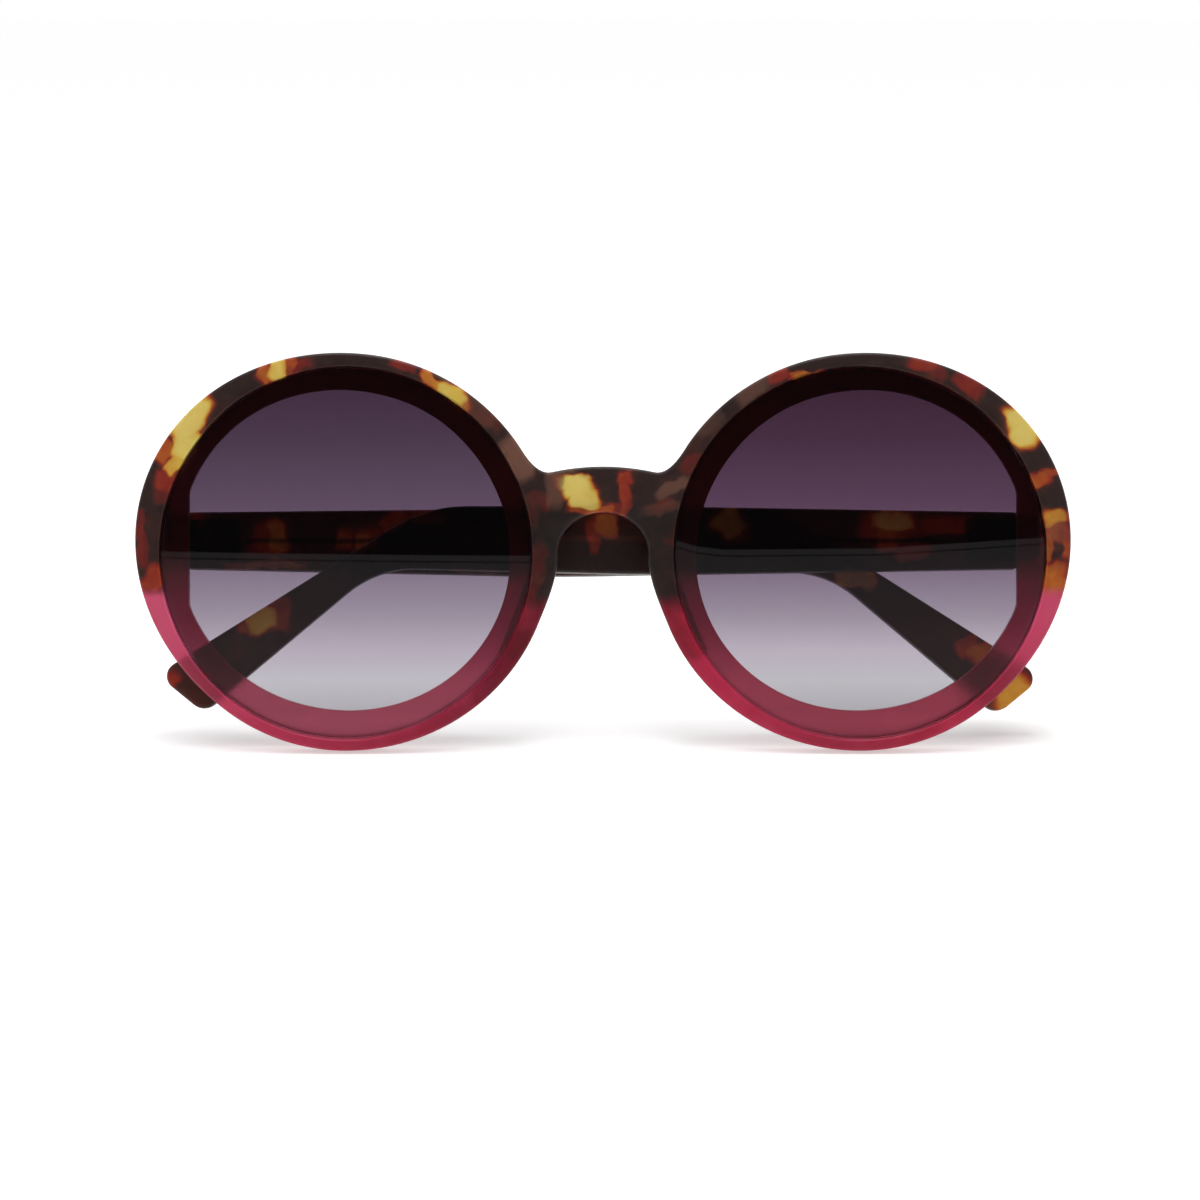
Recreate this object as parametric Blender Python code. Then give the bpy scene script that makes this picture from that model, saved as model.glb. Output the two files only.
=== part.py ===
# Round sunglasses in acetate, folded, with flush round lenses.
#
# All lengths are in metres. The front is drawn in its own plane: X runs across
# it, Z up it and Y back towards the face, with the midpoint between the lens
# centres at zero. The left side is the wearer's left, at plus X. The finished
# front leans back and stands on its rims, so Z of the world is up.
import math

import bmesh
import bpy
from mathutils import Matrix, Vector

for old in list(bpy.data.objects):
    bpy.data.objects.remove(old, do_unlink=True)

# Driving dimensions of the front
lens_radius = 0.0288
lens_gap = 0.0222
lens_thickness = 0.0020
lens_set_back = 0.0002
front_thickness = 0.0044
front_lean = math.radians(10)
clearance = 0.0003
overrun = 0.0010

# Rim: a circle round the lens, wider towards the temple and towards the nose
rim_width = 0.00205
rim_rise = 0.00015
rim_temple_swell = 0.0022
rim_nose_swell = 0.0011
rim_edge_round = 0.0009
rim_step = math.radians(5)

# Aperture behind the lens, cut straight beside the end piece
lens_ledge = 0.00395
aperture_rise = 0.00035
aperture_temple_swell = 0.0013
aperture_side_swell = 0.0008
aperture_side_cut = 0.00035

# Bridge: the crest above it and the arch over the nose
bridge_crest_height = 0.0134
bridge_crest_radius = 0.0375
bridge_crest_half_width = 0.0080
arch_height = 0.0063
arch_half_width = 0.0070

# Seam where the tortoise sheet is joined to the raspberry sheet
seam_drop = 0.0070
seam_gap = 0.0003

# Nose pads, bonded behind the rims beside the nose
pad_depth = 0.0046
pad_edge_margin = 0.0004
pad_inner_margin = 0.0022
pad_edge_round = 0.0009
pad_top_angle = math.radians(189)
pad_low_angle = math.radians(213)
pad_splay = 0.0012
pad_end_share = 0.3
pad_end_narrowing = 0.0004

# End pieces, which carry the hinges behind the rims
hinge_inset = 0.00705
hinge_height = 0.0022
hinge_depth = 0.0096
hinge_offset = 0.0015
joint_gap = 0.0003
end_piece_width = 0.0042
end_piece_top = 0.0046
end_piece_low = -0.0048
end_piece_sink = 0.0014
end_piece_round = 0.0005

# Five-barrel hinge: three barrels on the front leaf and two on the temple leaf
barrel_radius = 0.00115
barrel_bore_radius = 0.00065
barrel_length = 0.0011
barrel_gap = 0.00025
barrel_count = 5
leaf_thickness = 0.0007
leaf_start = 0.0006
front_leaf_length = 0.0042
temple_leaf_length = 0.0085
leaf_half_height = 0.0033
leaf_web_length = 0.0019
temple_leaf_depth = 0.0011
screw_radius = 0.00050
screw_head_radius = 0.0010
screw_head_height = 0.00055
screw_slot_width = 0.0003
screw_slot_depth = 0.00025

# Temples, drawn open: along Y from the hinge, with heights from its middle
temple_length = 0.1357
temple_thickness = 0.0036
temple_tip_thickness = 0.0030
temple_edge_round = 0.0008
temple_tilt = math.radians(5)
temple_splay = math.radians(4.5)
belly_length = 0.0590
shoulder_share = 0.6905
crook_share = 0.7465
tip_low_from_tip = 0.0074
butt_top = 0.0044
butt_low = -0.0045
belly_top = 0.0052
belly_low = -0.0056
shoulder_top = 0.0051
crook_low = -0.00465
tip_top = -0.0215
tip_low = -0.0275
butt_corner = 0.0015
belly_curve = 0.3500
shoulder_curve = 0.0220
crook_curve = 0.0160
tip_top_corner = 0.0022
tip_low_corner = 0.0026

# Core wire in its bore inside each temple
wire_radius = 0.00045
wire_bore_radius = 0.00060
wire_start = 0.0095
wire_before_shoulder = 0.0055
wire_bore_before_shoulder = 0.0050

# How far each temple folds past square to the front: the left one lies
# against the front, the right one lies over it
left_fold = math.radians(91.8)
right_fold = math.radians(88.35)

half_spacing = lens_radius + lens_gap / 2
rim_radius = lens_radius + rim_width
aperture_radius = lens_radius - lens_ledge
aperture_half_width = aperture_radius - aperture_side_cut
hinge_reach = half_spacing + rim_radius + rim_temple_swell - hinge_inset
pocket_depth = lens_set_back + lens_thickness + clearance
round_sides = 24


def material(name, colour, roughness, metallic=0.0, alpha=1.0):
    made = bpy.data.materials.new(name)
    made.use_nodes = True
    shader = made.node_tree.nodes["Principled BSDF"]
    shader.inputs["Base Color"].default_value = (*colour, 1.0)
    shader.inputs["Roughness"].default_value = roughness
    shader.inputs["Metallic"].default_value = metallic
    shader.inputs["Alpha"].default_value = alpha
    made.diffuse_color = (*colour, 1.0)
    return made


tortoise = material("tortoise_acetate", (0.060, 0.022, 0.012), 0.38)
raspberry = material("raspberry_acetate", (0.42, 0.035, 0.075), 0.40)
pad_acetate = material("pad_acetate", (0.060, 0.022, 0.012), 0.35)
lens_tint = material("grey_violet_lens", (0.115, 0.090, 0.125), 0.06)
hinge_metal = material("black_nickel", (0.085, 0.080, 0.075), 0.30, metallic=1.0)
screw_metal = material("steel", (0.55, 0.55, 0.56), 0.28, metallic=1.0)


def swell(angle, centre_deg, half_width_deg):
    """One at the centre angle, falling smoothly to zero at the half width."""
    away = math.degrees(angle) - centre_deg
    away = abs((away + 180) % 360 - 180)
    if away >= half_width_deg:
        return 0.0
    return math.cos(away / half_width_deg * math.pi / 2) ** 2


def rim_reach(angle):
    """Radius of the rim's outline; angle 0 is towards the temple, 90 is up."""
    return (
        rim_radius
        + rim_rise * math.sin(angle)
        + rim_temple_swell * swell(angle, 22, 75)
        + rim_nose_swell * swell(angle, 185, 85)
    )


def aperture_reach(angle):
    """Radius of the opening behind the lens, in the same directions."""
    return (
        aperture_radius
        + aperture_rise * math.sin(angle)
        + aperture_temple_swell * swell(angle, 32, 75)
        + aperture_side_swell * swell(angle, 205, 75)
        + aperture_side_swell * swell(angle, 335, 60)
    )


def polar(reach, angle):
    """A point of a curve round the left lens, in the plane of the front."""
    radius = reach(angle)
    return Vector((half_spacing + radius * math.cos(angle), radius * math.sin(angle)))


def hermite(start, start_pull, end, end_pull, steps):
    """Points between start and end of a curve that leaves and arrives along the pulls."""
    found = []
    for n in range(1, steps):
        t = n / steps
        found.append(
            start * (2 * t**3 - 3 * t**2 + 1)
            + start_pull * (t**3 - 2 * t**2 + t)
            + end * (3 * t**2 - 2 * t**3)
            + end_pull * (t**3 - t**2)
        )
    return found


def half_outline():
    """Outline of the front's left half, from the crest of the bridge round to the arch."""
    crest_centre = Vector((0, bridge_crest_height - bridge_crest_radius))
    crest_turn = math.asin(bridge_crest_half_width / bridge_crest_radius)
    crest = [
        crest_centre
        + bridge_crest_radius * Vector((math.sin(turn), math.cos(turn)))
        for turn in (0, crest_turn / 3, crest_turn * 2 / 3, crest_turn)
    ]
    rim_top = math.radians(148)
    rim_low = math.radians(-158)
    steps = round((rim_top - rim_low) / rim_step)
    rim = [
        polar(rim_reach, rim_top + (rim_low - rim_top) * n / steps)
        for n in range(steps + 1)
    ]
    crest_pull = Vector((math.cos(crest_turn), -math.sin(crest_turn)))
    top_pull = Vector((math.sin(rim_top), -math.cos(rim_top)))
    blend = (rim[0] - crest[-1]).length
    shoulder = hermite(crest[-1], crest_pull * blend, rim[0], top_pull * blend, 5)
    waist = Vector((arch_half_width, 0))
    low_pull = Vector((math.sin(rim_low), -math.cos(rim_low)))
    drop = (rim[-1] - waist).length
    flank = hermite(rim[-1], low_pull * drop, waist, Vector((0, drop)), 5)
    arch = [
        Vector((arch_half_width * math.cos(turn), arch_height * math.sin(turn)))
        for turn in (math.radians(15 * n) for n in range(7))
    ]
    return crest + shoulder + rim + flank + arch


def front_outline():
    left = half_outline()
    right = [Vector((-p.x, p.y)) for p in reversed(left[1:-1])]
    return left + right


def aperture_outline():
    points = []
    for n in range(60):
        p = polar(aperture_reach, math.radians(6 * n))
        p.x = min(p.x, half_spacing + aperture_half_width)
        points.append(p)
    return points


def rounded(corners):
    """A polygon with each corner, given as along, height and radius, made an arc."""
    points = []
    for n, (along, height, radius) in enumerate(corners):
        here = Vector((along, height))
        before = Vector(corners[n - 1][:2]) - here
        after = Vector(corners[(n + 1) % len(corners)][:2]) - here
        turn = math.pi - before.angle(after)
        reach = radius * math.tan(turn / 2)
        start = here + before.normalized() * reach
        end = here + after.normalized() * reach
        middle = here + (before.normalized() + after.normalized()).normalized() * (
            radius / math.cos(turn / 2)
        )
        steps = max(2, round(math.degrees(turn) / 12))
        swing = (start - middle).angle_signed(end - middle)
        for step in range(steps + 1):
            arm = start - middle
            arm.rotate(Matrix.Rotation(-swing * step / steps, 2))
            points.append(middle + arm)
    return points


def new_object(name, mesh, look=None):
    made = bpy.data.objects.new(name, mesh)
    bpy.context.collection.objects.link(made)
    if look:
        mesh.materials.append(look)
    return made


def finish_mesh(bm, name, smooth_deg=35):
    bmesh.ops.recalc_face_normals(bm, faces=bm.faces)
    mesh = bpy.data.meshes.new(name)
    bm.to_mesh(mesh)
    bm.free()
    mesh.shade_smooth()
    mesh.set_sharp_from_angle(angle=math.radians(smooth_deg))
    return mesh


def slab_mesh(name, outline, low, high, edge_round=0.0):
    """A plate in the plane of the front, from depth low to depth high."""
    bm = bmesh.new()
    face = bm.faces.new([bm.verts.new((p.x, low, p.y)) for p in outline])
    grown = bmesh.ops.extrude_face_region(bm, geom=[face])["geom"]
    far = [item for item in grown if isinstance(item, bmesh.types.BMVert)]
    for vert in far:
        vert.co.y = high
    bmesh.ops.recalc_face_normals(bm, faces=bm.faces)
    if edge_round:
        rims = [e for e in bm.edges if e.verts[0].co.y == e.verts[1].co.y]
        bmesh.ops.bevel(
            bm, geom=rims, offset=edge_round, affect="EDGES", segments=2,
            profile=0.5, material=-1, clamp_overlap=True,
        )
    return finish_mesh(bm, name)


def box_mesh(name, low, high, edge_round=0.0):
    bm = bmesh.new()
    bmesh.ops.create_cube(bm, size=1)
    low = Vector(low)
    high = Vector(high)
    for vert in bm.verts:
        vert.co = [
            (low[n] + high[n]) / 2 + vert.co[n] * (high[n] - low[n]) for n in range(3)
        ]
    if edge_round:
        bmesh.ops.bevel(
            bm, geom=bm.edges[:], offset=edge_round, affect="EDGES", segments=1,
            profile=0.5, material=-1, clamp_overlap=True,
        )
    return finish_mesh(bm, name)


def cylinder_mesh(name, radius, low, high, axis="Z", sides=round_sides):
    """A cylinder from low to high along its axis."""
    bm = bmesh.new()
    bmesh.ops.create_cone(
        bm, cap_ends=True, segments=sides, radius1=radius, radius2=radius,
        depth=high - low,
    )
    bmesh.ops.translate(bm, verts=bm.verts, vec=(0, 0, (low + high) / 2))
    turns = {"Y": Matrix.Rotation(-math.pi / 2, 3, "X"), "Z": Matrix.Identity(3)}
    bmesh.ops.rotate(bm, verts=bm.verts, matrix=turns[axis])
    return finish_mesh(bm, name)


def helper(name, mesh, parent=None, place=(0, 0, 0)):
    """A guide shape that cuts or joins another one and isn't a piece itself."""
    made = new_object(name, mesh)
    made.hide_render = True
    made.display_type = "WIRE"
    made.parent = parent
    made.location = place
    return made


def combine(piece, other, operation):
    step = piece.modifiers.new(f"{operation.lower()}_{other.name}", "BOOLEAN")
    step.operation = operation
    step.solver = "EXACT"
    step.object = other


# The front stands in an empty that leans back
front_plane = bpy.data.objects.new("front_plane", None)
bpy.context.collection.objects.link(front_plane)
front_plane.rotation_euler.x = -front_lean

sides = {"left": 1, "right": -1}

# Shapes that cut the lens seats and the openings behind the lenses
seat_cutters = {}
aperture_cutters = {}
for side, sign in sides.items():
    seat_cutters[side] = helper(
        f"lens_seat_{side}",
        cylinder_mesh("lens_seat", lens_radius + clearance, -overrun, pocket_depth, "Y", 72),
        front_plane,
        (sign * half_spacing, 0, 0),
    )
    outline = [Vector((sign * p.x, p.y)) for p in aperture_outline()]
    aperture_cutters[side] = helper(
        f"aperture_{side}",
        slab_mesh("aperture", outline, -overrun, front_thickness + overrun),
        front_plane,
    )

# Tortoise front: the upper rims, the bridge and the end pieces
blank = slab_mesh("front_blank", front_outline(), 0, front_thickness, rim_edge_round)
front_upper = new_object("front_upper", blank, tortoise)
front_upper.parent = front_plane
reach_out = half_spacing + rim_radius + rim_temple_swell + overrun
reach_down = rim_radius + overrun
below_seam = helper(
    "below_seam",
    box_mesh(
        "below_seam",
        (-reach_out, -overrun, -reach_down),
        (reach_out, front_thickness + overrun, -seam_drop),
    ),
    front_plane,
)

# Raspberry lower rims, one on each side
for side, sign in sides.items():
    rim = new_object(f"rim_lower_{side}", blank.copy(), raspberry)
    rim.data.materials.clear()
    rim.data.materials.append(raspberry)
    rim.parent = front_plane
    region = helper(
        f"lower_region_{side}",
        box_mesh(
            "lower_region",
            (min(0, sign * reach_out), -overrun, -reach_down),
            (max(0, sign * reach_out), front_thickness + overrun, -seam_drop - seam_gap),
        ),
        front_plane,
    )
    combine(rim, region, "INTERSECT")
    combine(rim, aperture_cutters[side], "DIFFERENCE")
    combine(rim, seat_cutters[side], "DIFFERENCE")

# Hinge empties: one stays with the front, one turns with the temple
hinge_frames = {}
temple_frames = {}
for side, sign in sides.items():
    fixed = bpy.data.objects.new(f"hinge_{side}", None)
    bpy.context.collection.objects.link(fixed)
    fixed.parent = front_plane
    fixed.location = (sign * hinge_reach, hinge_depth, hinge_height)
    fixed.rotation_euler.x = -temple_tilt
    hinge_frames[side] = fixed
    turning = bpy.data.objects.new(f"temple_axis_{side}", None)
    bpy.context.collection.objects.link(turning)
    turning.parent = fixed
    turning.rotation_euler.z = {"left": left_fold, "right": -right_fold}[side]
    temple_frames[side] = turning


def end_piece_mesh(sign):
    """A block from inside the front to the joint, mitred so the open temple splays."""
    ends = sorted((sign * hinge_offset, sign * (hinge_offset + end_piece_width)))
    mesh = box_mesh(
        "end_piece",
        (ends[0], front_thickness - hinge_depth - end_piece_sink, end_piece_low),
        (ends[1], -joint_gap / 2, end_piece_top),
        end_piece_round,
    )
    for vert in mesh.vertices:
        if vert.co.y > -end_piece_sink:
            vert.co.y -= abs(vert.co.x) * math.tan(temple_splay)
    return mesh


# End pieces joined to the tortoise front, each with a seat for its hinge leaf
leaf_seat = leaf_thickness + clearance
for side, sign in sides.items():
    end_piece = helper(f"end_piece_{side}", end_piece_mesh(sign), hinge_frames[side])
    seat = sorted((sign * (hinge_offset - overrun), sign * (hinge_offset + leaf_seat)))
    leaf_pocket = helper(
        f"front_leaf_seat_{side}",
        box_mesh(
            "front_leaf_seat",
            (seat[0], -front_leaf_length - clearance, -leaf_half_height - clearance),
            (seat[1], overrun, leaf_half_height + clearance),
        ),
        hinge_frames[side],
    )
    combine(front_upper, end_piece, "UNION")
    combine(front_upper, leaf_pocket, "DIFFERENCE")
for side in sides:
    combine(front_upper, aperture_cutters[side], "DIFFERENCE")
    combine(front_upper, seat_cutters[side], "DIFFERENCE")
combine(front_upper, below_seam, "DIFFERENCE")

# Lenses: flat discs set flush in the front of the rims
for side, sign in sides.items():
    lens = new_object(
        f"lens_{side}",
        cylinder_mesh(
            "lens", lens_radius, lens_set_back, lens_set_back + lens_thickness, "Y", 72
        ),
        lens_tint,
    )
    lens.parent = front_plane
    lens.location = (sign * half_spacing, 0, 0)

# Nose pads: curved blocks that follow the rims beside the nose, lower and narrower
# towards both ends
for side, sign in sides.items():
    steps = 6
    base = front_thickness + clearance
    bm = bmesh.new()
    rings = []
    for n in range(steps + 1):
        turn = pad_top_angle + (pad_low_angle - pad_top_angle) * n / steps
        bulge = math.sin(math.pi * n / steps)
        narrowing = pad_end_narrowing * (1 - bulge)
        top = base + pad_depth * (pad_end_share + (1 - pad_end_share) * bulge)
        outer = polar(lambda angle: rim_reach(angle) - pad_edge_margin - narrowing, turn)
        inner = polar(lambda angle: aperture_reach(angle) + pad_inner_margin + narrowing, turn)
        rings.append([
            bm.verts.new((sign * outer.x, base, outer.y)),
            bm.verts.new((sign * inner.x, base, inner.y)),
            bm.verts.new((sign * inner.x, top, inner.y)),
            bm.verts.new((sign * (outer.x + pad_splay), top, outer.y)),
        ])
    for ring, following in zip(rings, rings[1:]):
        for n in range(4):
            after = (n + 1) % 4
            bm.faces.new((ring[n], ring[after], following[after], following[n]))
    bm.faces.new(rings[0])
    bm.faces.new(rings[-1])
    raised = {vert for ring in rings for vert in ring[2:]}
    back = {face for face in bm.faces if raised.issuperset(face.verts)}
    ends = {*rings[0], *rings[-1]}
    edges = [
        edge for edge in bm.edges
        if len(back.intersection(edge.link_faces)) == 1
        or ends.issuperset(edge.verts) and len(raised.intersection(edge.verts)) == 1
    ]
    bmesh.ops.bevel(
        bm, geom=edges, offset=pad_edge_round, affect="EDGES", segments=2,
        profile=0.5, material=-1, clamp_overlap=True,
    )
    bmesh.ops.recalc_face_normals(bm, faces=bm.faces)
    mesh = bpy.data.meshes.new("nose_pad")
    bm.to_mesh(mesh)
    bm.free()
    mesh.shade_smooth()
    mesh.set_sharp_from_angle(angle=math.radians(40))
    pad = new_object(f"nose_pad_{side}", mesh, pad_acetate)
    pad.parent = front_plane

# Barrels of a hinge, stacked along its axis
pitch = barrel_length + barrel_gap
barrel_stack = barrel_count * barrel_length + (barrel_count - 1) * barrel_gap


def leaf_mesh_parts(sign, direction, length, depth, levels):
    """Plate, webs and barrels of a hinge leaf that lies along direction from the axis."""
    near = direction * leaf_start
    far = direction * length
    plate_x = sorted((sign * (hinge_offset + depth), sign * (hinge_offset + depth + leaf_thickness)))
    plate = box_mesh(
        "plate",
        (plate_x[0], min(near, far), -leaf_half_height),
        (plate_x[1], max(near, far), leaf_half_height),
    )
    webs = []
    for level in levels:
        low = -barrel_stack / 2 + level * pitch
        high = low + barrel_length
        web_x = sorted((0, sign * (hinge_offset + depth + leaf_thickness / 2)))
        web_y = sorted((direction * screw_radius, direction * leaf_web_length))
        web = box_mesh("web", (web_x[0], web_y[0], low), (web_x[1], web_y[1], high))
        webs.append((web, cylinder_mesh("barrel", barrel_radius, low, high)))
    return plate, webs


def hinge_leaf(name, sign, direction, length, depth, levels, parent):
    plate, webs = leaf_mesh_parts(sign, direction, length, depth, levels)
    leaf = new_object(name, plate, hinge_metal)
    leaf.parent = parent
    for n, (web, barrel) in enumerate(webs):
        combine(leaf, helper(f"{name}_web_{n}", web, parent), "UNION")
        combine(leaf, helper(f"{name}_barrel_{n}", barrel, parent), "UNION")
    bore = cylinder_mesh("bore", barrel_bore_radius, -barrel_stack, barrel_stack)
    combine(leaf, helper(f"{name}_bore", bore, parent), "DIFFERENCE")
    return leaf


shoulder_length = temple_length * shoulder_share
crook_length = temple_length * crook_share
tip_low_length = temple_length - tip_low_from_tip
temple_corners = [
    (joint_gap / 2, butt_top, butt_corner),
    (belly_length, belly_top, belly_curve),
    (shoulder_length, shoulder_top, shoulder_curve),
    (temple_length, tip_top, tip_top_corner),
    (tip_low_length, tip_low, tip_low_corner),
    (crook_length, crook_low, crook_curve),
    (belly_length, belly_low, belly_curve),
    (joint_gap / 2, butt_low, butt_corner),
]


def temple_mesh(sign):
    """A temple drawn open, with its flat inner face beside the hinge."""
    bm = bmesh.new()
    outline = rounded(temple_corners)
    inner_x = sign * hinge_offset
    face = bm.faces.new([bm.verts.new((inner_x, p.x, p.y)) for p in outline])
    grown = bmesh.ops.extrude_face_region(bm, geom=[face])["geom"]
    for vert in grown:
        if isinstance(vert, bmesh.types.BMVert):
            share = vert.co.y / temple_length
            thick = temple_thickness + (temple_tip_thickness - temple_thickness) * share
            vert.co.x = sign * (hinge_offset + thick)
    bmesh.ops.recalc_face_normals(bm, faces=bm.faces)
    middle = sign * (hinge_offset + temple_tip_thickness / 2)
    edges = [
        e
        for e in bm.edges
        if (e.verts[0].co.x - middle) * (e.verts[1].co.x - middle) > 0
    ]
    bmesh.ops.bevel(
        bm, geom=edges, offset=temple_edge_round, affect="EDGES", segments=2,
        profile=0.5, material=-1, clamp_overlap=True,
    )
    return finish_mesh(bm, "temple")


for side, sign in sides.items():
    fixed = hinge_frames[side]
    turning = temple_frames[side]

    # Front leaf: sunk in the end piece, with barrels 0, 2 and 4
    hinge_leaf(
        f"hinge_front_leaf_{side}", sign, -1, front_leaf_length, 0,
        range(0, barrel_count, 2), fixed,
    )

    # Temple leaf: sunk in the temple, with barrels 1 and 3
    hinge_leaf(
        f"hinge_temple_leaf_{side}", sign, 1, temple_leaf_length, temple_leaf_depth,
        range(1, barrel_count, 2), turning,
    )

    # Screw: a shaft through the barrels, with a slotted head above them
    screw = new_object(
        f"hinge_screw_{side}",
        cylinder_mesh("screw", screw_radius, -barrel_stack / 2, barrel_stack / 2 + joint_gap * 2),
        screw_metal,
    )
    screw.parent = fixed
    head_low = barrel_stack / 2 + clearance
    head = helper(
        f"screw_head_{side}",
        cylinder_mesh("head", screw_head_radius, head_low, head_low + screw_head_height),
        fixed,
    )
    slot = helper(
        f"screw_slot_{side}",
        box_mesh(
            "slot",
            (-screw_head_radius - overrun, -screw_slot_width / 2,
             head_low + screw_head_height - screw_slot_depth),
            (screw_head_radius + overrun, screw_slot_width / 2,
             head_low + screw_head_height + overrun),
        ),
        fixed,
    )
    combine(screw, head, "UNION")
    combine(screw, slot, "DIFFERENCE")

    # Temple: one acetate bar with a notch for the webs, a slot for the leaf behind
    # the notch, and a bore for its wire behind the slot
    temple = new_object(f"temple_{side}", temple_mesh(sign), tortoise)
    temple.parent = turning
    slot_low = hinge_offset + temple_leaf_depth - clearance
    slot_high = hinge_offset + temple_leaf_depth + leaf_thickness + clearance
    notch_x = sorted((sign * (hinge_offset - overrun), sign * (slot_low + slot_high) / 2))
    slot_x = sorted((sign * slot_low, sign * slot_high))
    notch = helper(
        f"temple_notch_{side}",
        box_mesh(
            "temple_notch",
            (notch_x[0], -overrun, -leaf_half_height - 1.5 * clearance),
            (notch_x[1], leaf_web_length + clearance, leaf_half_height + 1.5 * clearance),
        ),
        turning,
    )
    leaf_slot = helper(
        f"temple_slot_{side}",
        box_mesh(
            "temple_slot",
            (slot_x[0], -overrun, -leaf_half_height - clearance),
            (slot_x[1], temple_leaf_length + clearance, leaf_half_height + clearance),
        ),
        turning,
    )
    wire_x = sign * (slot_low + slot_high) / 2
    bore = helper(
        f"wire_bore_{side}",
        cylinder_mesh(
            "wire_bore", wire_bore_radius, temple_leaf_length,
            shoulder_length - wire_bore_before_shoulder, "Y", 16,
        ),
        turning,
        (wire_x, 0, 0),
    )
    combine(temple, notch, "DIFFERENCE")
    combine(temple, leaf_slot, "DIFFERENCE")
    combine(temple, bore, "DIFFERENCE")

    # Core wire in the temple
    wire = new_object(
        f"core_wire_{side}",
        cylinder_mesh(
            "core_wire", wire_radius, wire_start, shoulder_length - wire_before_shoulder,
            "Y", 12,
        ),
        screw_metal,
    )
    wire.parent = turning
    wire.location = (wire_x, 0, 0)

# Stand the glasses on the ground, centred on the origin
bpy.context.view_layer.update()
graph = bpy.context.evaluated_depsgraph_get()
corners = []
for piece in bpy.data.objects:
    if piece.type == "MESH" and not piece.hide_render:
        seen = piece.evaluated_get(graph)
        corners += [seen.matrix_world @ v.co for v in seen.data.vertices]
low = Vector([min(c[n] for c in corners) for n in range(3)])
high = Vector([max(c[n] for c in corners) for n in range(3)])
front_plane.location = (0, -(low.y + high.y) / 2, -low.z)
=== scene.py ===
import math

import bmesh
import bpy
from mathutils import Matrix, Vector


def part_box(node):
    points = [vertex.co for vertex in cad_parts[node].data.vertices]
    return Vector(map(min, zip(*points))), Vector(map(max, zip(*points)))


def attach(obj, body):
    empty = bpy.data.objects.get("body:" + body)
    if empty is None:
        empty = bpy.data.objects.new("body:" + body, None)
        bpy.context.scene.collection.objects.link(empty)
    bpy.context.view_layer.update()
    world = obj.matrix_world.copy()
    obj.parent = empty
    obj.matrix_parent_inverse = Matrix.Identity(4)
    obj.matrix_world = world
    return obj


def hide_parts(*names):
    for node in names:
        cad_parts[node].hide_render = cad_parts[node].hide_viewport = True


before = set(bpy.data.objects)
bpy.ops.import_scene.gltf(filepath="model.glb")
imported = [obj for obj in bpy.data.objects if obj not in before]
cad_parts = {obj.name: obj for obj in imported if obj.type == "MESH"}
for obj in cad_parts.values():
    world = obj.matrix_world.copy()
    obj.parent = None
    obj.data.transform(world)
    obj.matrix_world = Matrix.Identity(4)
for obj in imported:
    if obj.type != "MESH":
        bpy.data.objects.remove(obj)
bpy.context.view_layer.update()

# The stand of the glasses: the front leans back by ten degrees. Everything on it
# is worked out in the front's own plane, with X across, Y back towards the
# face and Z up, from the midpoint between the lens centres on the front face.
lean = math.radians(10)
lens_radius = 0.0288
lens_set_back = 0.0002
lens_back = 0.0022
half_spacing = 0.0399
lens_low, lens_high = (Vector(corner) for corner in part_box("lens_left"))
turned_back = Matrix.Rotation(-lean, 4, "X")
bridge_point = (lens_low + lens_high) / 2 - turned_back @ Vector(
    (half_spacing, (lens_set_back + lens_back) / 2, 0)
)
stand = Matrix.Translation(bridge_point) @ turned_back

# Camera: a long lens looking square at the front, as in a catalogue picture. Its
# small shift sets the glasses a little above the middle of the picture.
camera_distance = 0.60
picture_width = 0.186
scene = bpy.context.scene
camera = bpy.data.objects.new("camera", bpy.data.cameras.new("camera"))
scene.collection.objects.link(camera)
scene.camera = camera
camera.matrix_world = (
    stand @ Matrix.Translation((0, -camera_distance, 0))
    @ Matrix.Rotation(math.radians(90), 4, "X")
)
camera.data.sensor_width = 36
camera.data.lens = camera.data.sensor_width * camera_distance / picture_width
camera.data.shift_x = -0.0025
camera.data.shift_y = -0.0392
camera.data.clip_start = 0.01
camera.data.clip_end = 20
scene.view_settings.view_transform = "Standard"

# Studio light: a white tent and a broad soft lamp overhead. Behind the camera hang
# a grey card and, above its axis, a black flag with a thin tape under its uneven
# edge. The flat lenses mirror them. Heights and widths are parts of a direction.
card_half_width = 0.12
card_shade = 0.28
flag_shade = 0.035
flag_edge = math.sin(lean) - 0.0008
edge_soft_below = 0.0001
edge_soft_above = 0.0002
edge_rise = 0.01
edge_rises = [
    (0.00, 0.00),
    (0.50, 0.00),
    (0.57, 0.45),
    (0.60, 0.24),
    (0.63, 0.15),
    (0.80, 0.15),
    (1.00, 0.39),
]
tape_drop = 0.0016
tape_half_width = 0.0002
tape_share = 0.7
cards_start = -0.86
cards_full = -0.94
tent_light = 0.58
tent_white = 1.0


def node(tree, kind, sockets=None, **settings):
    """Adds a node, sets its fields, and sets or links its sockets."""
    made = tree.nodes.new(kind)
    for key, value in settings.items():
        setattr(made, key, value)
    for key, value in (sockets or {}).items():
        if isinstance(value, bpy.types.NodeSocket):
            tree.links.new(value, made.inputs[key])
        else:
            made.inputs[key].default_value = value
    return made


def maths(tree, operation, *values, clamp=False):
    """What a Math node makes of numbers or of other nodes' results."""
    return node(
        tree, "ShaderNodeMath", dict(enumerate(values)), operation=operation, use_clamp=clamp
    ).outputs[0]


def ranged(tree, value, low, high, to_low=0.0, to_high=1.0, smooth=True):
    """A value carried from the range low to high over to another range."""
    made = node(
        tree, "ShaderNodeMapRange",
        {"Value": value, "From Min": low, "From Max": high, "To Min": to_low, "To Max": to_high},
    )
    if smooth:
        made.interpolation_type = "SMOOTHSTEP"
    return made.outputs[0]


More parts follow.
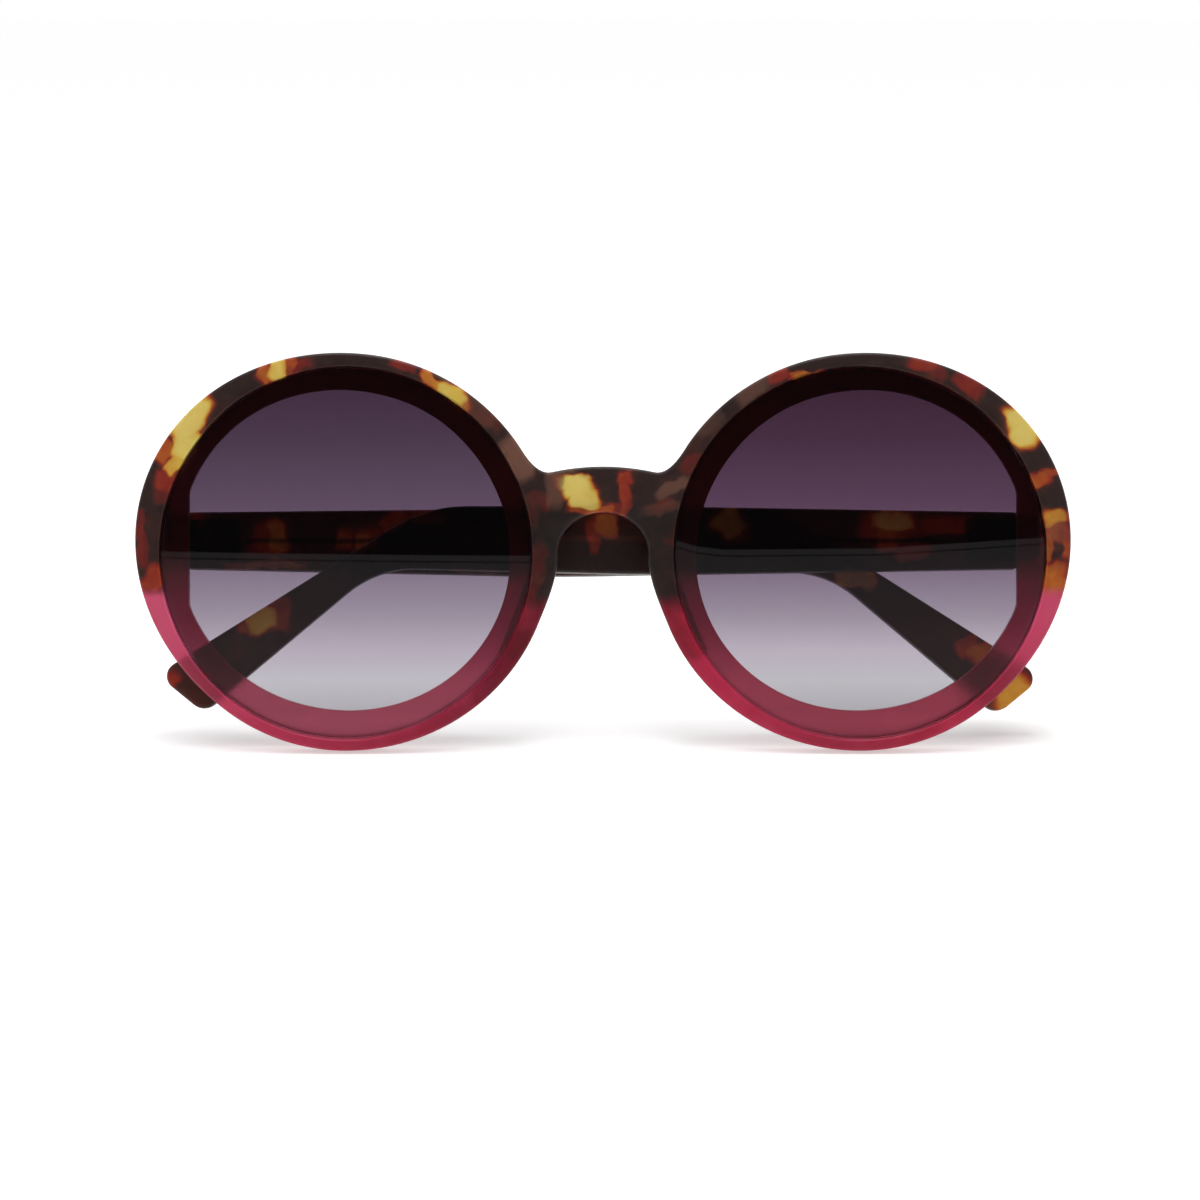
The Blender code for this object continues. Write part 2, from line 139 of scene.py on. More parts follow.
def colour_ramp(tree, value, stops):
    """The colour at a value from 0 to 1, between stops of position and colour."""
    made = node(tree, "ShaderNodeValToRGB", {0: value})
    ramp = made.color_ramp
    while len(ramp.elements) < len(stops):
        ramp.elements.new(1.0)
    for element, (position, colour) in zip(ramp.elements, stops):
        element.position = position
        element.color = (*colour, 1)
    return made.outputs[0]


def background_rays(tree):
    """1 for the rays that see the background: straight, through glass or mirrored."""
    path = node(tree, "ShaderNodeLightPath").outputs
    seen = maths(tree, "ADD", path["Is Camera Ray"], path["Is Transmission Ray"], clamp=True)
    return maths(tree, "ADD", seen, path["Is Glossy Ray"], clamp=True)


world = bpy.data.worlds.new("studio")
scene.world = world
world.use_nodes = True
tree = world.node_tree
tree.nodes.clear()
direction = node(tree, "ShaderNodeTexCoord").outputs["Generated"]
direction = node(tree, "ShaderNodeSeparateXYZ", {0: direction}).outputs
across_card = ranged(tree, direction["X"], -card_half_width, card_half_width, smooth=False)
uneven = colour_ramp(tree, across_card, [(at, (rise,) * 3) for at, rise in edge_rises])
uneven = maths(tree, "MULTIPLY", uneven, edge_rise)
level = maths(tree, "SUBTRACT", direction["Z"], uneven)
flag = ranged(
    tree, level, flag_edge - edge_soft_below, flag_edge + edge_soft_above, smooth=False
)
tape = maths(tree, "COMPARE", level, flag_edge - tape_drop, tape_half_width)
tape = maths(tree, "MULTIPLY", tape, tape_share)
dark = maths(tree, "MAXIMUM", flag, tape)
cards = ranged(tree, dark, 0, 1, card_shade, flag_shade, smooth=False)
straight = node(tree, "ShaderNodeLightPath").outputs["Is Camera Ray"]
facing = ranged(tree, direction["Y"], cards_start, cards_full, smooth=False)
facing = maths(tree, "SUBTRACT", facing, straight, clamp=True)
tent = node(
    tree, "ShaderNodeMix", {"Factor": background_rays(tree), "A": tent_light, "B": tent_white},
    data_type="FLOAT",
).outputs[0]
strength = node(
    tree, "ShaderNodeMix", {"Factor": facing, "A": tent, "B": cards}, data_type="FLOAT"
).outputs[0]
background = node(tree, "ShaderNodeBackground", {"Color": (1, 1, 1, 1), "Strength": strength})
node(tree, "ShaderNodeOutputWorld", {"Surface": background.outputs[0]})

lamp_data = bpy.data.lights.new("overhead_softbox", "AREA")
lamp_data.shape = "RECTANGLE"
lamp_data.size = 0.25
lamp_data.size_y = 0.8
lamp_data.energy = 3.2
lamp = bpy.data.objects.new("overhead_softbox", lamp_data)
lamp.location = (0, -0.15, 0.8)
lamp.rotation_euler = (math.radians(-10), 0, 0)
scene.collection.objects.link(lamp)

# Floor: a sweep of white paper. Where the background shows, the paper is lifted to
# plain white, and less so close behind the rims, where ambient occlusion cuts the
# lift: a painted shadow that deepens the shadow of the glasses.
floor_size = 3
paper_colour = (0.86, 0.86, 0.86, 1)
paper_lift = 0.50
shadow_reach = 0.012
shadow_start = -0.006
shadow_full = 0.004
shadow_depth = 3.0
bm = bmesh.new()
bmesh.ops.create_grid(bm, x_segments=1, y_segments=1, size=floor_size)
floor_mesh = bpy.data.meshes.new("floor")
bm.to_mesh(floor_mesh)
bm.free()
floor = bpy.data.objects.new("floor", floor_mesh)
scene.collection.objects.link(floor)
paper = bpy.data.materials.new("white_paper")
paper.use_nodes = True
tree = paper.node_tree
tree.nodes.clear()
matt = node(tree, "ShaderNodeBsdfDiffuse", {"Color": paper_colour})
# Painted shadow: ambient occlusion cuts the paper's lift close behind the glasses.
openness = node(
    tree, "ShaderNodeAmbientOcclusion", {"Distance": shadow_reach}
).outputs["AO"]
spot = node(tree, "ShaderNodeTexCoord").outputs["Object"]
spot = node(tree, "ShaderNodeSeparateXYZ", {0: spot}).outputs
behind = ranged(tree, spot["Y"], shadow_start, shadow_full, 0.0, shadow_depth, smooth=False)
lift = maths(tree, "MULTIPLY", maths(tree, "POWER", openness, behind), paper_lift)
glow = node(tree, "ShaderNodeEmission", {"Strength": lift})
lifted = node(tree, "ShaderNodeAddShader", {0: matt.outputs[0], 1: glow.outputs[0]})
mixed = node(
    tree, "ShaderNodeMixShader",
    {0: background_rays(tree), 1: matt.outputs[0], 2: lifted.outputs[0]},
)
node(tree, "ShaderNodeOutputMaterial", {"Surface": mixed.outputs[0]})
floor_mesh.materials.append(paper)

# Acetate sheet, the stuff of the front, the pads and the temples: dark brown
# tortoise cast with clouds of amber that fade through orange and red. Each cloud
# has its middle, its half length and width in mm, its turn and how far it glows.
front_clouds = [
    (-63.9, 21.0, 3.5, 1.9, 50, 1.00),
    (-65.0, 16.9, 2.4, 1.5, 64, 0.96),
    (-68.0, 15.8, 1.5, 1.1, 60, 0.58),
    (-66.4, 13.7, 1.3, 1.0, 40, 0.82),
    (-67.7, 11.4, 1.5, 1.4, 80, 0.42),
    (-68.3, 9.4, 1.6, 1.2, 80, 0.28),
    (-50.7, 28.6, 1.9, 1.0, 78, 0.92),
    (-52.4, 27.4, 1.4, 1.1, 60, 0.56),
    (-48.8, 29.3, 1.5, 1.0, 20, 0.52),
    (-46.6, 28.9, 1.8, 0.9, 10, 0.34),
    (-30.9, 29.0, 1.7, 0.8, -20, 0.38),
    (-26.5, 27.0, 1.7, 0.8, -35, 0.66),
    (-23.4, 24.9, 2.6, 1.1, -32, 0.92),
    (-21.3, 23.0, 1.2, 1.1, -60, 0.60),
    (-17.6, 21.2, 2.2, 1.2, -50, 0.24),
    (-71.8, 4.6, 1.8, 0.8, 92, 0.34),
    (-71.5, 1.0, 2.4, 0.9, 92, 0.35),
    (-69.8, -4.0, 2.0, 1.7, 60, 0.46),
    (-4.5, 10.6, 2.3, 1.2, -8, 1.00),
    (-3.8, 9.7, 2.2, 1.2, -8, 1.00),
    (-3.1, 8.7, 2.0, 1.3, -8, 1.00),
    (-1.8, 7.0, 3.2, 0.7, -4, 0.55),
    (1.3, 7.0, 1.3, 0.8, 0, 0.38),
    (3.5, 8.6, 2.6, 0.7, 86, 0.45),
    (3.6, 11.6, 1.1, 0.9, 0, 0.46),
    (-9.9, 7.9, 2.0, 1.0, 0, 0.24),
    (-11.0, 5.8, 1.8, 0.9, 80, 0.24),
    (-10.3, -2.8, 4.2, 0.9, 80, 0.26),
    (8.5, 6.8, 2.2, 1.0, 20, 0.26),
    (13.6, 14.3, 1.6, 0.9, 60, 0.26),
    (27.4, 27.3, 1.3, 0.8, 30, 0.44),
    (31.5, 27.7, 2.4, 0.5, 12, 0.66),
    (49.5, 29.4, 2.3, 0.9, -15, 0.42),
    (51.8, 27.8, 1.8, 1.0, -30, 0.30),
    (57.0, 26.0, 2.2, 1.3, -40, 0.38),
    (64.9, 19.5, 3.0, 1.7, -60, 1.00),
    (67.9, 11.5, 1.5, 1.0, 20, 0.54),
    (69.6, 12.6, 1.2, 0.6, 10, 0.46),
    (70.0, 5.4, 1.8, 1.0, 12, 0.72),
    (70.2, 3.2, 1.7, 1.3, 0, 0.50),
    (69.0, 0.8, 2.2, 0.6, 88, 0.58),
    (71.9, 1.6, 2.7, 0.6, 90, 0.50),
    (70.0, -4.3, 2.2, 2.0, 90, 0.57),
]
front_hazes = [
    (-13.2, 14.6, 2.8, 1.5, -62, 1.0),
    (10.8, 10.2, 2.4, 0.8, 30, 0.75),
    (8.6, 6.6, 2.3, 0.8, 12, 0.40),
    (23.4, 25.1, 2.5, 1.1, 35, 0.55),
    (16.3, 19.9, 2.2, 1.0, 50, 0.30),
    (-7.6, 10.2, 1.0, 2.4, 0, 0.65),
    (-19.5, 22.0, 2.4, 1.1, -50, 0.27),
    (70.2, 3.2, 1.6, 1.2, 0, 0.45),
]
haze_colour = (0.200, 0.088, 0.058)
glow_stops = [
    (0.00, (0.024, 0.008, 0.006)),
    (0.18, (0.055, 0.014, 0.008)),
    (0.34, (0.200, 0.012, 0.009)),
    (0.44, (0.320, 0.027, 0.010)),
    (0.53, (0.440, 0.075, 0.010)),
    (0.64, (0.560, 0.180, 0.018)),
    (0.78, (0.680, 0.370, 0.045)),
    (0.90, (0.760, 0.540, 0.085)),
    (1.00, (0.820, 0.660, 0.180)),
]


sheet_middle = 0.004
cloud_depth = 0.03
cloud_rim = 2.4
cloud_heart = 0.6
murk_glow = 0.26
murk_haze = 0.14
grain_shade = 0.07
satin_low = 0.36
satin_high = 0.46


def cloudy(tree, place, scale, detail=2.0):
    """Soft noise at a place, as a value and as a colour."""
    return node(
        tree, "ShaderNodeTexNoise",
        {"Vector": place, "Scale": scale, "Detail": detail, "Roughness": 0.5},
    )


def mixed_colour(tree, share, low, high):
    """The colour low where the share is 0 and the colour high where it is 1."""
    made = node(tree, "ShaderNodeMix", {"Factor": share}, data_type="RGBA", clamp_factor=True)
    for index, colour in ((6, low), (7, high)):
        if isinstance(colour, bpy.types.NodeSocket):
            tree.links.new(colour, made.inputs[index])
        else:
            made.inputs[index].default_value = (*colour, 1)
    return made.outputs[2]


def in_front_plane(tree):
    """The piece's own coordinates, turned and moved into the front's plane."""
    return node(
        tree, "ShaderNodeMapping",
        {
            "Vector": node(tree, "ShaderNodeTexCoord").outputs["Object"],
            "Location": -(turned_back.to_3x3().inverted() @ bridge_point),
            "Rotation": (lean, 0, 0),
        },
    ).outputs[0]


def vector_length(tree, vector):
    """How long a vector is."""
    return node(tree, "ShaderNodeVectorMath", {0: vector}, operation="LENGTH").outputs["Value"]


def bent_by(tree, place, scale, far):
    """A place moved about by soft noise, up to about half of far each way."""
    bend = cloudy(tree, place, scale, 1.0).outputs["Color"]
    bend = node(
        tree, "ShaderNodeVectorMath", {0: bend, 1: (0.5, 0.5, 0.5)}, operation="SUBTRACT"
    )
    bend = node(
        tree, "ShaderNodeVectorMath", {0: bend.outputs[0], "Scale": far}, operation="SCALE"
    )
    return node(
        tree, "ShaderNodeVectorMath", {0: place, 1: bend.outputs[0]}, operation="ADD"
    ).outputs[0]


def strongest(tree, place, clouds, start):
    """The strongest glow that the clouds give at a place, over a start value."""
    glow = start
    for across, up, length, width, turn, strength in clouds:
        inside = node(
            tree, "ShaderNodeMapping",
            {
                "Vector": place,
                "Location": (across / 1000, sheet_middle, up / 1000),
                "Rotation": (0, -math.radians(turn), 0),
                "Scale": (length / 1000, cloud_depth, width / 1000),
            },
            vector_type="TEXTURE",
        ).outputs[0]
        boxy = node(tree, "ShaderNodeVectorMath", {0: inside, 1: inside}, operation="MULTIPLY")
        reach = vector_length(tree, boxy.outputs[0])
        own = ranged(tree, reach, cloud_rim, cloud_heart, 0.0, strength)
        glow = maths(tree, "MAXIMUM", glow, own)
    return glow


def tortoise(tree, place, clouds, hazes):
    """Colour of tortoise sheet with its clouds, at a place in the front's plane."""
    bent = bent_by(tree, place, scale=210.0, far=0.0030)
    bent = bent_by(tree, bent, scale=620.0, far=0.0010)
    murk = cloudy(tree, bent, scale=150.0).outputs["Fac"]
    faint = ranged(tree, murk, 0.48, 0.80, 0.0, murk_glow)
    glow = strongest(tree, bent, clouds, faint)
    grain = cloudy(tree, bent, scale=420.0, detail=3.0).outputs["Fac"]
    shade = ranged(tree, grain, 0.25, 0.75, -grain_shade, grain_shade, smooth=False)
    colour = colour_ramp(tree, maths(tree, "ADD", glow, shade), glow_stops)
    faint = ranged(tree, murk, 0.45, 0.20, 0.0, murk_haze)
    haze = strongest(tree, bent, hazes, faint)
    return mixed_colour(tree, haze, colour, haze_colour)


def acetate(name, colour_at, gloss):
    """Acetate tumbled to a satin face, from what gives its colour and clearness."""
    made = bpy.data.materials.new(name)
    made.use_nodes = True
    tree = made.node_tree
    shader = tree.nodes["Principled BSDF"]
    place = in_front_plane(tree)
    colour, clear = colour_at(tree, place)
    tree.links.new(colour, shader.inputs["Base Color"])
    if isinstance(clear, bpy.types.NodeSocket):
        tree.links.new(clear, shader.inputs["Transmission Weight"])
    else:
        shader.inputs["Transmission Weight"].default_value = clear
    grain = cloudy(tree, place, scale=900.0).outputs["Fac"]
    roughness = ranged(tree, grain, 0.3, 0.7, satin_low, satin_high)
    tree.links.new(roughness, shader.inputs["Roughness"])
    shader.inputs["Subsurface Weight"].default_value = 1.0
    shader.inputs["Subsurface Radius"].default_value = (1.0, 0.45, 0.35)
    shader.inputs["Subsurface Scale"].default_value = 0.0012
    shader.inputs["Specular IOR Level"].default_value = gloss
    shader.inputs["IOR"].default_value = 1.4
    return made


# Front: two sheets of acetate bonded edge to edge along a level seam, tortoise over
# raspberry, then milled and tumbled as one piece. Each rim has a round seat for its
# lens, with a thin ledge behind it, and an end piece at the back for the hinge.
front_thickness = 0.0044
rim_width = 0.00205
rim_radius = lens_radius + rim_width
rim_rise = 0.00015
rim_temple_swell = 0.0022
rim_swells = [(rim_temple_swell, 22, 75), (0.0011, 185, 85)]
ledge_width = 0.00395
ledge_radius = lens_radius - ledge_width
ledge_rise = 0.00035
ledge_swells = [(0.0013, 32, 75), (0.0008, 205, 75), (0.0008, 335, 60)]
ledge_side_cut = 0.00035
crest_height = 0.0134
crest_radius = 0.0375
crest_half_width = 0.0080
crest_steps = 6
shoulder_steps = 12
rim_top = math.radians(148)
rim_low = math.radians(-158)
rim_steps = 153
flank_steps = 14
arch_half_width = 0.0070
arch_height = 0.0063
arch_steps = 18
edge_round = 0.0005
seat_gap = 0.00016
seat_radius = lens_radius + seat_gap
seat_depth = 0.0025
seat_chamfer = 0.00018
overrun = 0.001
round_steps = 192

# Hinges' places in the front, and the lumps and cuts that it has for them
hinge_inset = 0.00705
hinge_reach = half_spacing + rim_radius + rim_temple_swell - hinge_inset
hinge_depth = 0.0096
hinge_height = 0.0022
hinge_tilt = math.radians(-5)
hinge_offset = 0.0015
folds = {"left": math.radians(91.8), "right": -math.radians(88.35)}
splay = math.radians(4.5)
half_joint_gap = 0.00015
end_piece_width = 0.0042
end_piece_start = -0.0066
end_piece_low = -0.0048
end_piece_top = 0.0046
leaf_seat_depth = 0.00075
leaf_seat_start = -0.00425
leaf_half_height = 0.00335

# Colours of the front: the raspberry sheet from side to side, with its places in mm,
# lighter at the outer ends and darker beside the nose as painted light and shade,
# and the colours of the thin ledges with painted light, which stands in for the light
# that comes through from behind, lighter towards the bottom
raspberry_half_width = 72
# Painted light and shade across the raspberry: lighter at the outer ends, darker beside the
# nose.
raspberry_and_painted_light_stops = [
    (-68, (0.69, 0.104, 0.205)),
    (-56, (0.60, 0.050, 0.125)),
    (-42, (0.57, 0.034, 0.100)),
    (-28, (0.42, 0.018, 0.062)),
    (-17, (0.19, 0.002, 0.020)),
    (-8, (0.26, 0.004, 0.022)),
    (8, (0.38, 0.009, 0.040)),
    (16, (0.54, 0.022, 0.080)),
    (38, (0.50, 0.027, 0.080)),
    (53, (0.50, 0.014, 0.060)),
    (61, (0.56, 0.040, 0.110)),
    (69, (0.68, 0.088, 0.185)),
]
raspberry_fog = (0.80, 0.09, 0.20)
# Painted light: brighter, lit copies of the sheets' colours for the thin ledges.
painted_backlight_tortoise = (0.95, 0.105, 0.080)
painted_backlight_tortoise_patch = (1.00, 0.115, 0.190)
painted_backlight_raspberry = (0.50, 0.032, 0.085)
painted_backlight_raspberry_low_right = (1.0, 0.20, 0.31)
painted_backlight_raspberry_low_left = (0.96, 0.11, 0.20)
painted_backlight_from_depth = 0.0040
painted_backlight_full_depth = 0.0034
painted_backlight_share_behind = 0.05
painted_backlight_low_start = -0.010
painted_backlight_low_full = -0.027
ledge_clear = 0.75
ledge_blend = 0.0008
seam_height = -0.0070
seam_wave = 0.0005
seam_slope = 0.0010
seam_slope_start = 0.012
seam_slope_end = 0.072
seam_ledge_rise = 0.0028
seam_soft_inner = 0.0018
seam_soft_outer = 0.0009
seam_soft_ledge = 0.8
# A painted highlight: a thin lighter ring on the chamfer at the edge of each lens seat.
glint_start = 0.00040
glint_full = 0.00026
glint_colour = (1.2, 1.35, 1.35)


def two_tone(clear, thin_within=lens_radius):
    """Makes what gives the colour and the clearness of the bonded sheets at a place, with
    painted light on the thin ledges and a painted highlight at the lens seats.
    """
    def colour_at(tree, place):
        along = node(tree, "ShaderNodeSeparateXYZ", {0: place}).outputs
        out = maths(tree, "ABSOLUTE", along["X"])
        from_lens = maths(tree, "SUBTRACT", out, half_spacing)
        spot = node(tree, "ShaderNodeCombineXYZ", {"X": from_lens, "Z": along["Z"]})
        reach = vector_length(tree, spot.outputs[0])
        thin = ranged(tree, reach, thin_within, thin_within - ledge_blend)

        brown = tortoise(tree, place, front_clouds, front_hazes)
        # Painted light on the thin tortoise ledge, strongest on its front face.
        patch = ranged(tree, cloudy(tree, place, scale=130.0).outputs["Fac"], 0.45, 0.70)
        painted_backlight = mixed_colour(tree, patch, painted_backlight_tortoise, painted_backlight_tortoise_patch)
        fore = ranged(
            tree, along["Y"], painted_backlight_from_depth, painted_backlight_full_depth, painted_backlight_share_behind, 1.0
        )
        brown = mixed_colour(tree, maths(tree, "MULTIPLY", fore, thin), brown, painted_backlight)

        half = raspberry_half_width / 1000
        share = ranged(tree, along["X"], -half, half, smooth=False)
        # The raspberry's colour across the front, with painted light at the outer ends and
        # painted shade by the nose.
        berry = colour_ramp(tree, share, [
            (across / (2 * raspberry_half_width) + 0.5, shade)
            for across, shade in raspberry_and_painted_light_stops
        ])
        fog = cloudy(tree, place, scale=160.0).outputs["Fac"]
        berry = mixed_colour(
            tree, ranged(tree, fog, 0.45, 0.75, 0.0, 0.25), berry, raspberry_fog
        )
        # Painted light on the thin raspberry ledge, lighter towards the bottom.
        low = mixed_colour(tree, share, painted_backlight_raspberry_low_right, painted_backlight_raspberry_low_left)
        down = ranged(tree, along["Z"], painted_backlight_low_start, painted_backlight_low_full)
        low = mixed_colour(tree, down, painted_backlight_raspberry, low)
        berry = mixed_colour(tree, thin, berry, low)

        wave = cloudy(tree, place, scale=260.0).outputs["Fac"]
        wave = ranged(tree, wave, 0.3, 0.7, -seam_wave, seam_wave, smooth=False)
        drop = ranged(
            tree, out, seam_slope_start, seam_slope_end, seam_slope, -seam_slope, smooth=False
        )
        ledge_lift = ranged(tree, thin, 0.0, 1.0, 0.0, seam_ledge_rise, smooth=False)
        height = maths(tree, "ADD", along["Z"], wave)
        height = maths(tree, "ADD", height, drop)
        height = maths(tree, "SUBTRACT", height, ledge_lift)
        height = maths(tree, "SUBTRACT", height, seam_height)
        softness = ranged(
            tree, out, 0.020, 0.060, seam_soft_inner, seam_soft_outer, smooth=False
        )
        softness = maths(tree, "MULTIPLY_ADD", ledge_lift, seam_soft_ledge, softness)
        below = ranged(tree, maths(tree, "DIVIDE", height, softness), 1.0, -1.0)
        colour = mixed_colour(tree, below, brown, berry)

        # Painted highlight on the lens seat's chamfer.
        ring = ranged(tree, reach, lens_radius + glint_start, lens_radius + glint_full)
        ring = maths(tree, "SUBTRACT", ring, thin)
        bright = node(
            tree, "ShaderNodeVectorMath", {0: colour, 1: glint_colour}, operation="MULTIPLY"
        )
        colour = mixed_colour(tree, ring, colour, bright.outputs[0])
        low_ledge = maths(tree, "MULTIPLY", thin, below)
        return colour, ranged(
            tree, low_ledge, 0.0, 1.0, clear, max(clear, ledge_clear), smooth=False
        )
    return colour_at


def swell(angle, centre_deg, half_width_deg):
    """1 at the centre angle, falling smoothly to 0 at half the width on each side."""
    away = abs((math.degrees(angle) - centre_deg + 180) % 360 - 180)
    if away >= half_width_deg:
        return 0.0
    return math.cos(away / half_width_deg * math.pi / 2) ** 2


def swelled(radius, rise, swells, angle):
    """Radius of a nearly round outline; 0 is towards the temple, 90 degrees is up."""
    reach = radius + rise * math.sin(angle)
    for size, centre_deg, half_width_deg in swells:
        reach += size * swell(angle, centre_deg, half_width_deg)
    return reach


def rim_reach(angle):
    """Radius of the rim's outline."""
    return swelled(rim_radius, rim_rise, rim_swells, angle)


def ledge_reach(angle):
    """Radius of the opening behind the lens."""
    return swelled(ledge_radius, ledge_rise, ledge_swells, angle)


def beside_lens(radius, angle):
    """The point at a radius and an angle from the middle of the left lens."""
    return Vector((half_spacing + radius * math.cos(angle), radius * math.sin(angle)))


def curve_between(start, start_pull, end, end_pull, steps):
    """Points between two ends of a curve that leaves and arrives along the pulls."""
    for n in range(1, steps):
        t = n / steps
        yield (
            start * (2 * t**3 - 3 * t**2 + 1) + start_pull * (t**3 - 2 * t**2 + t)
            + end * (3 * t**2 - 2 * t**3) + end_pull * (t**3 - t**2)
        )


def rounded_edges(bm, edges, width, segments):
    """Rounds off edges of a bmesh for good."""
    bmesh.ops.bevel(
        bm, geom=edges, offset=width, affect="EDGES", segments=segments,
        profile=0.5, material=-1, clamp_overlap=True,
    )


def slab(outline, near, far, rounding=0.0):
    """A plate with its outline in the front's plane, from depth near to depth far."""
    bm = bmesh.new()
    face = bm.faces.new([bm.verts.new((p.x, near, p.y)) for p in outline])
    grown = bmesh.ops.extrude_face_region(bm, geom=[face])["geom"]
    bmesh.ops.translate(
        bm, vec=(0, far - near, 0), verts=[v for v in grown if isinstance(v, bmesh.types.BMVert)]
    )
    bmesh.ops.recalc_face_normals(bm, faces=bm.faces)
    if rounding:
        rims = [e for e in bm.edges if abs(e.verts[0].co.y - e.verts[1].co.y) < 1e-7]
        rounded_edges(bm, rims, rounding, 4)
    return bm


def block(corner, opposite, rounding=0.0):
    """A box between two opposite corners."""
    corner = Vector(corner)
    opposite = Vector(opposite)
    bm = bmesh.new()
    bmesh.ops.create_cube(bm, size=1)
    bmesh.ops.scale(bm, vec=[abs(n) for n in opposite - corner], verts=bm.verts)
    bmesh.ops.translate(bm, vec=(corner + opposite) / 2, verts=bm.verts)
    if rounding:
        rounded_edges(bm, bm.edges[:], rounding, 3)
    return bm


def turned(profile):
    """A solid turned about the Y axis from a profile of radius and depth."""
    bm = bmesh.new()
    verts = [bm.verts.new((radius, depth, 0)) for radius, depth in profile]
    edges = [bm.edges.new(pair) for pair in zip(verts, verts[1:])]
    bmesh.ops.spin(
        bm, geom=verts + edges, cent=(0, 0, 0), axis=(0, 1, 0), angle=math.tau,
        steps=round_steps, use_merge=True,
    )
    bmesh.ops.remove_doubles(bm, verts=bm.verts, dist=1e-6)
    bmesh.ops.recalc_face_normals(bm, faces=bm.faces)
    return bm


def shaded(mesh, sharp=35):
    """Shades a mesh smooth, but for the edges that turn by more than sharp degrees."""
    mesh.shade_smooth()
    mesh.set_sharp_from_angle(angle=math.radians(sharp))


def placed(bm, name, matrix, sharp=35):
    """The bmesh as an object at the origin, with its place in its mesh."""
    bmesh.ops.transform(bm, matrix=matrix, verts=bm.verts)
    bmesh.ops.recalc_face_normals(bm, faces=bm.faces)
    mesh = bpy.data.meshes.new(name)
    bm.to_mesh(mesh)
    bm.free()
    shaded(mesh, sharp)
    made = bpy.data.objects.new(name, mesh)
    scene.collection.objects.link(made)
    return made


def machined(piece, joined, removed):
    """Joins and cuts a piece for good, and throws the cutters away."""
    for operation, tools in (("UNION", joined), ("DIFFERENCE", removed)):
        for tool in tools:
            step = piece.modifiers.new(tool.name, "BOOLEAN")
            step.operation = operation
            step.solver = "EXACT"
            step.object = tool
    graph = bpy.context.evaluated_depsgraph_get()
    mesh = bpy.data.meshes.new_from_object(piece.evaluated_get(graph))
    piece.modifiers.clear()
    piece.data = mesh
    mesh.materials.clear()
    shaded(mesh)
    for tool in (*joined, *removed):
        bpy.data.objects.remove(tool, do_unlink=True)


crest_centre = Vector((0, crest_height - crest_radius))
crest_turn = math.asin(crest_half_width / crest_radius)
crest = [
    crest_centre + crest_radius * Vector((math.sin(turn), math.cos(turn)))
    for turn in (crest_turn * n / crest_steps for n in range(crest_steps + 1))
]
rim = [
    beside_lens(rim_reach(angle), angle)
    for angle in (rim_top + (rim_low - rim_top) * n / rim_steps for n in range(rim_steps + 1))
]
pull = (rim[0] - crest[-1]).length
shoulder = list(curve_between(
    crest[-1], Vector((math.cos(crest_turn), -math.sin(crest_turn))) * pull,
    rim[0], Vector((math.sin(rim_top), -math.cos(rim_top))) * pull, shoulder_steps,
))
waist = Vector((arch_half_width, 0))
pull = (rim[-1] - waist).length
flank = list(curve_between(
    rim[-1], Vector((math.sin(rim_low), -math.cos(rim_low))) * pull,
    waist, Vector((0, pull)), flank_steps,
))
arch = [
    Vector((arch_half_width * math.cos(turn), arch_height * math.sin(turn)))
    for turn in (math.radians(90 / arch_steps * n) for n in range(arch_steps + 1))
]
left_half = crest + shoulder + rim + flank + arch
right_half = [Vector((-p.x, p.y)) for p in reversed(left_half[1:-1])]
front = placed(
    slab(left_half + right_half, 0, front_thickness, edge_round), "acetate_front", stand
)

ledge = []
for degrees in range(0, 360, 2):
    angle = math.radians(degrees)
    p = beside_lens(ledge_reach(angle), angle)
    ledge.append(Vector((min(p.x, half_spacing + ledge_radius - ledge_side_cut), p.y)))

sides = {"left": 1, "right": -1}
hinge_frames = {}
temple_frames = {}
end_pieces = []
front_cutters = []
for side, sign in sides.items():
    hinge_frames[side] = (
        stand @ Matrix.Translation((sign * hinge_reach, hinge_depth, hinge_height))
        @ Matrix.Rotation(hinge_tilt, 4, "X")
    )
    temple_frames[side] = hinge_frames[side] @ Matrix.Rotation(folds[side], 4, "Z")
    bm = block(
        (sign * hinge_offset, end_piece_start, end_piece_low),
        (sign * (hinge_offset + end_piece_width), -half_joint_gap, end_piece_top),
        edge_round,
    )
    for vert in bm.verts:
        if vert.co.y > end_piece_start / 2:
            vert.co.y -= abs(vert.co.x) * math.tan(splay)
    end_pieces.append(placed(bm, f"end_piece_{side}", hinge_frames[side]))
    bm = block(
        (sign * (hinge_offset - overrun), leaf_seat_start, -leaf_half_height),
        (sign * (hinge_offset + leaf_seat_depth), overrun, leaf_half_height),
    )
    front_cutters.append(placed(bm, f"leaf_seat_{side}", hinge_frames[side]))
    bm = turned([
        (0, -overrun), (seat_radius + (overrun + seat_chamfer), -overrun),
        (seat_radius, seat_chamfer), (seat_radius, seat_depth), (0, seat_depth),
    ])
    middle = stand @ Matrix.Translation((sign * half_spacing, 0, 0))
    front_cutters.append(placed(bm, f"lens_seat_{side}", middle))
    bm = slab([Vector((sign * p.x, p.y)) for p in ledge], -overrun, front_thickness + overrun)
    front_cutters.append(placed(bm, f"opening_{side}", stand))
machined(front, end_pieces, front_cutters)
front.data.materials.append(acetate("two_tone_acetate", two_tone(clear=0.55), gloss=0.24))
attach(front, "front")
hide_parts("front_upper", "rim_lower_left", "rim_lower_right")

# Lenses: flat discs of clear hard plastic, dip-dyed grey-violet so that the tint
# fades towards the bottom, with a fine ground chamfer, pressed into their seats.
# Near the bottom the tint has a darker band, a painted shadow of the floor behind.
# The left one took up a little more dye at its top. Heights are in mm.
lens_chamfer = 0.00018
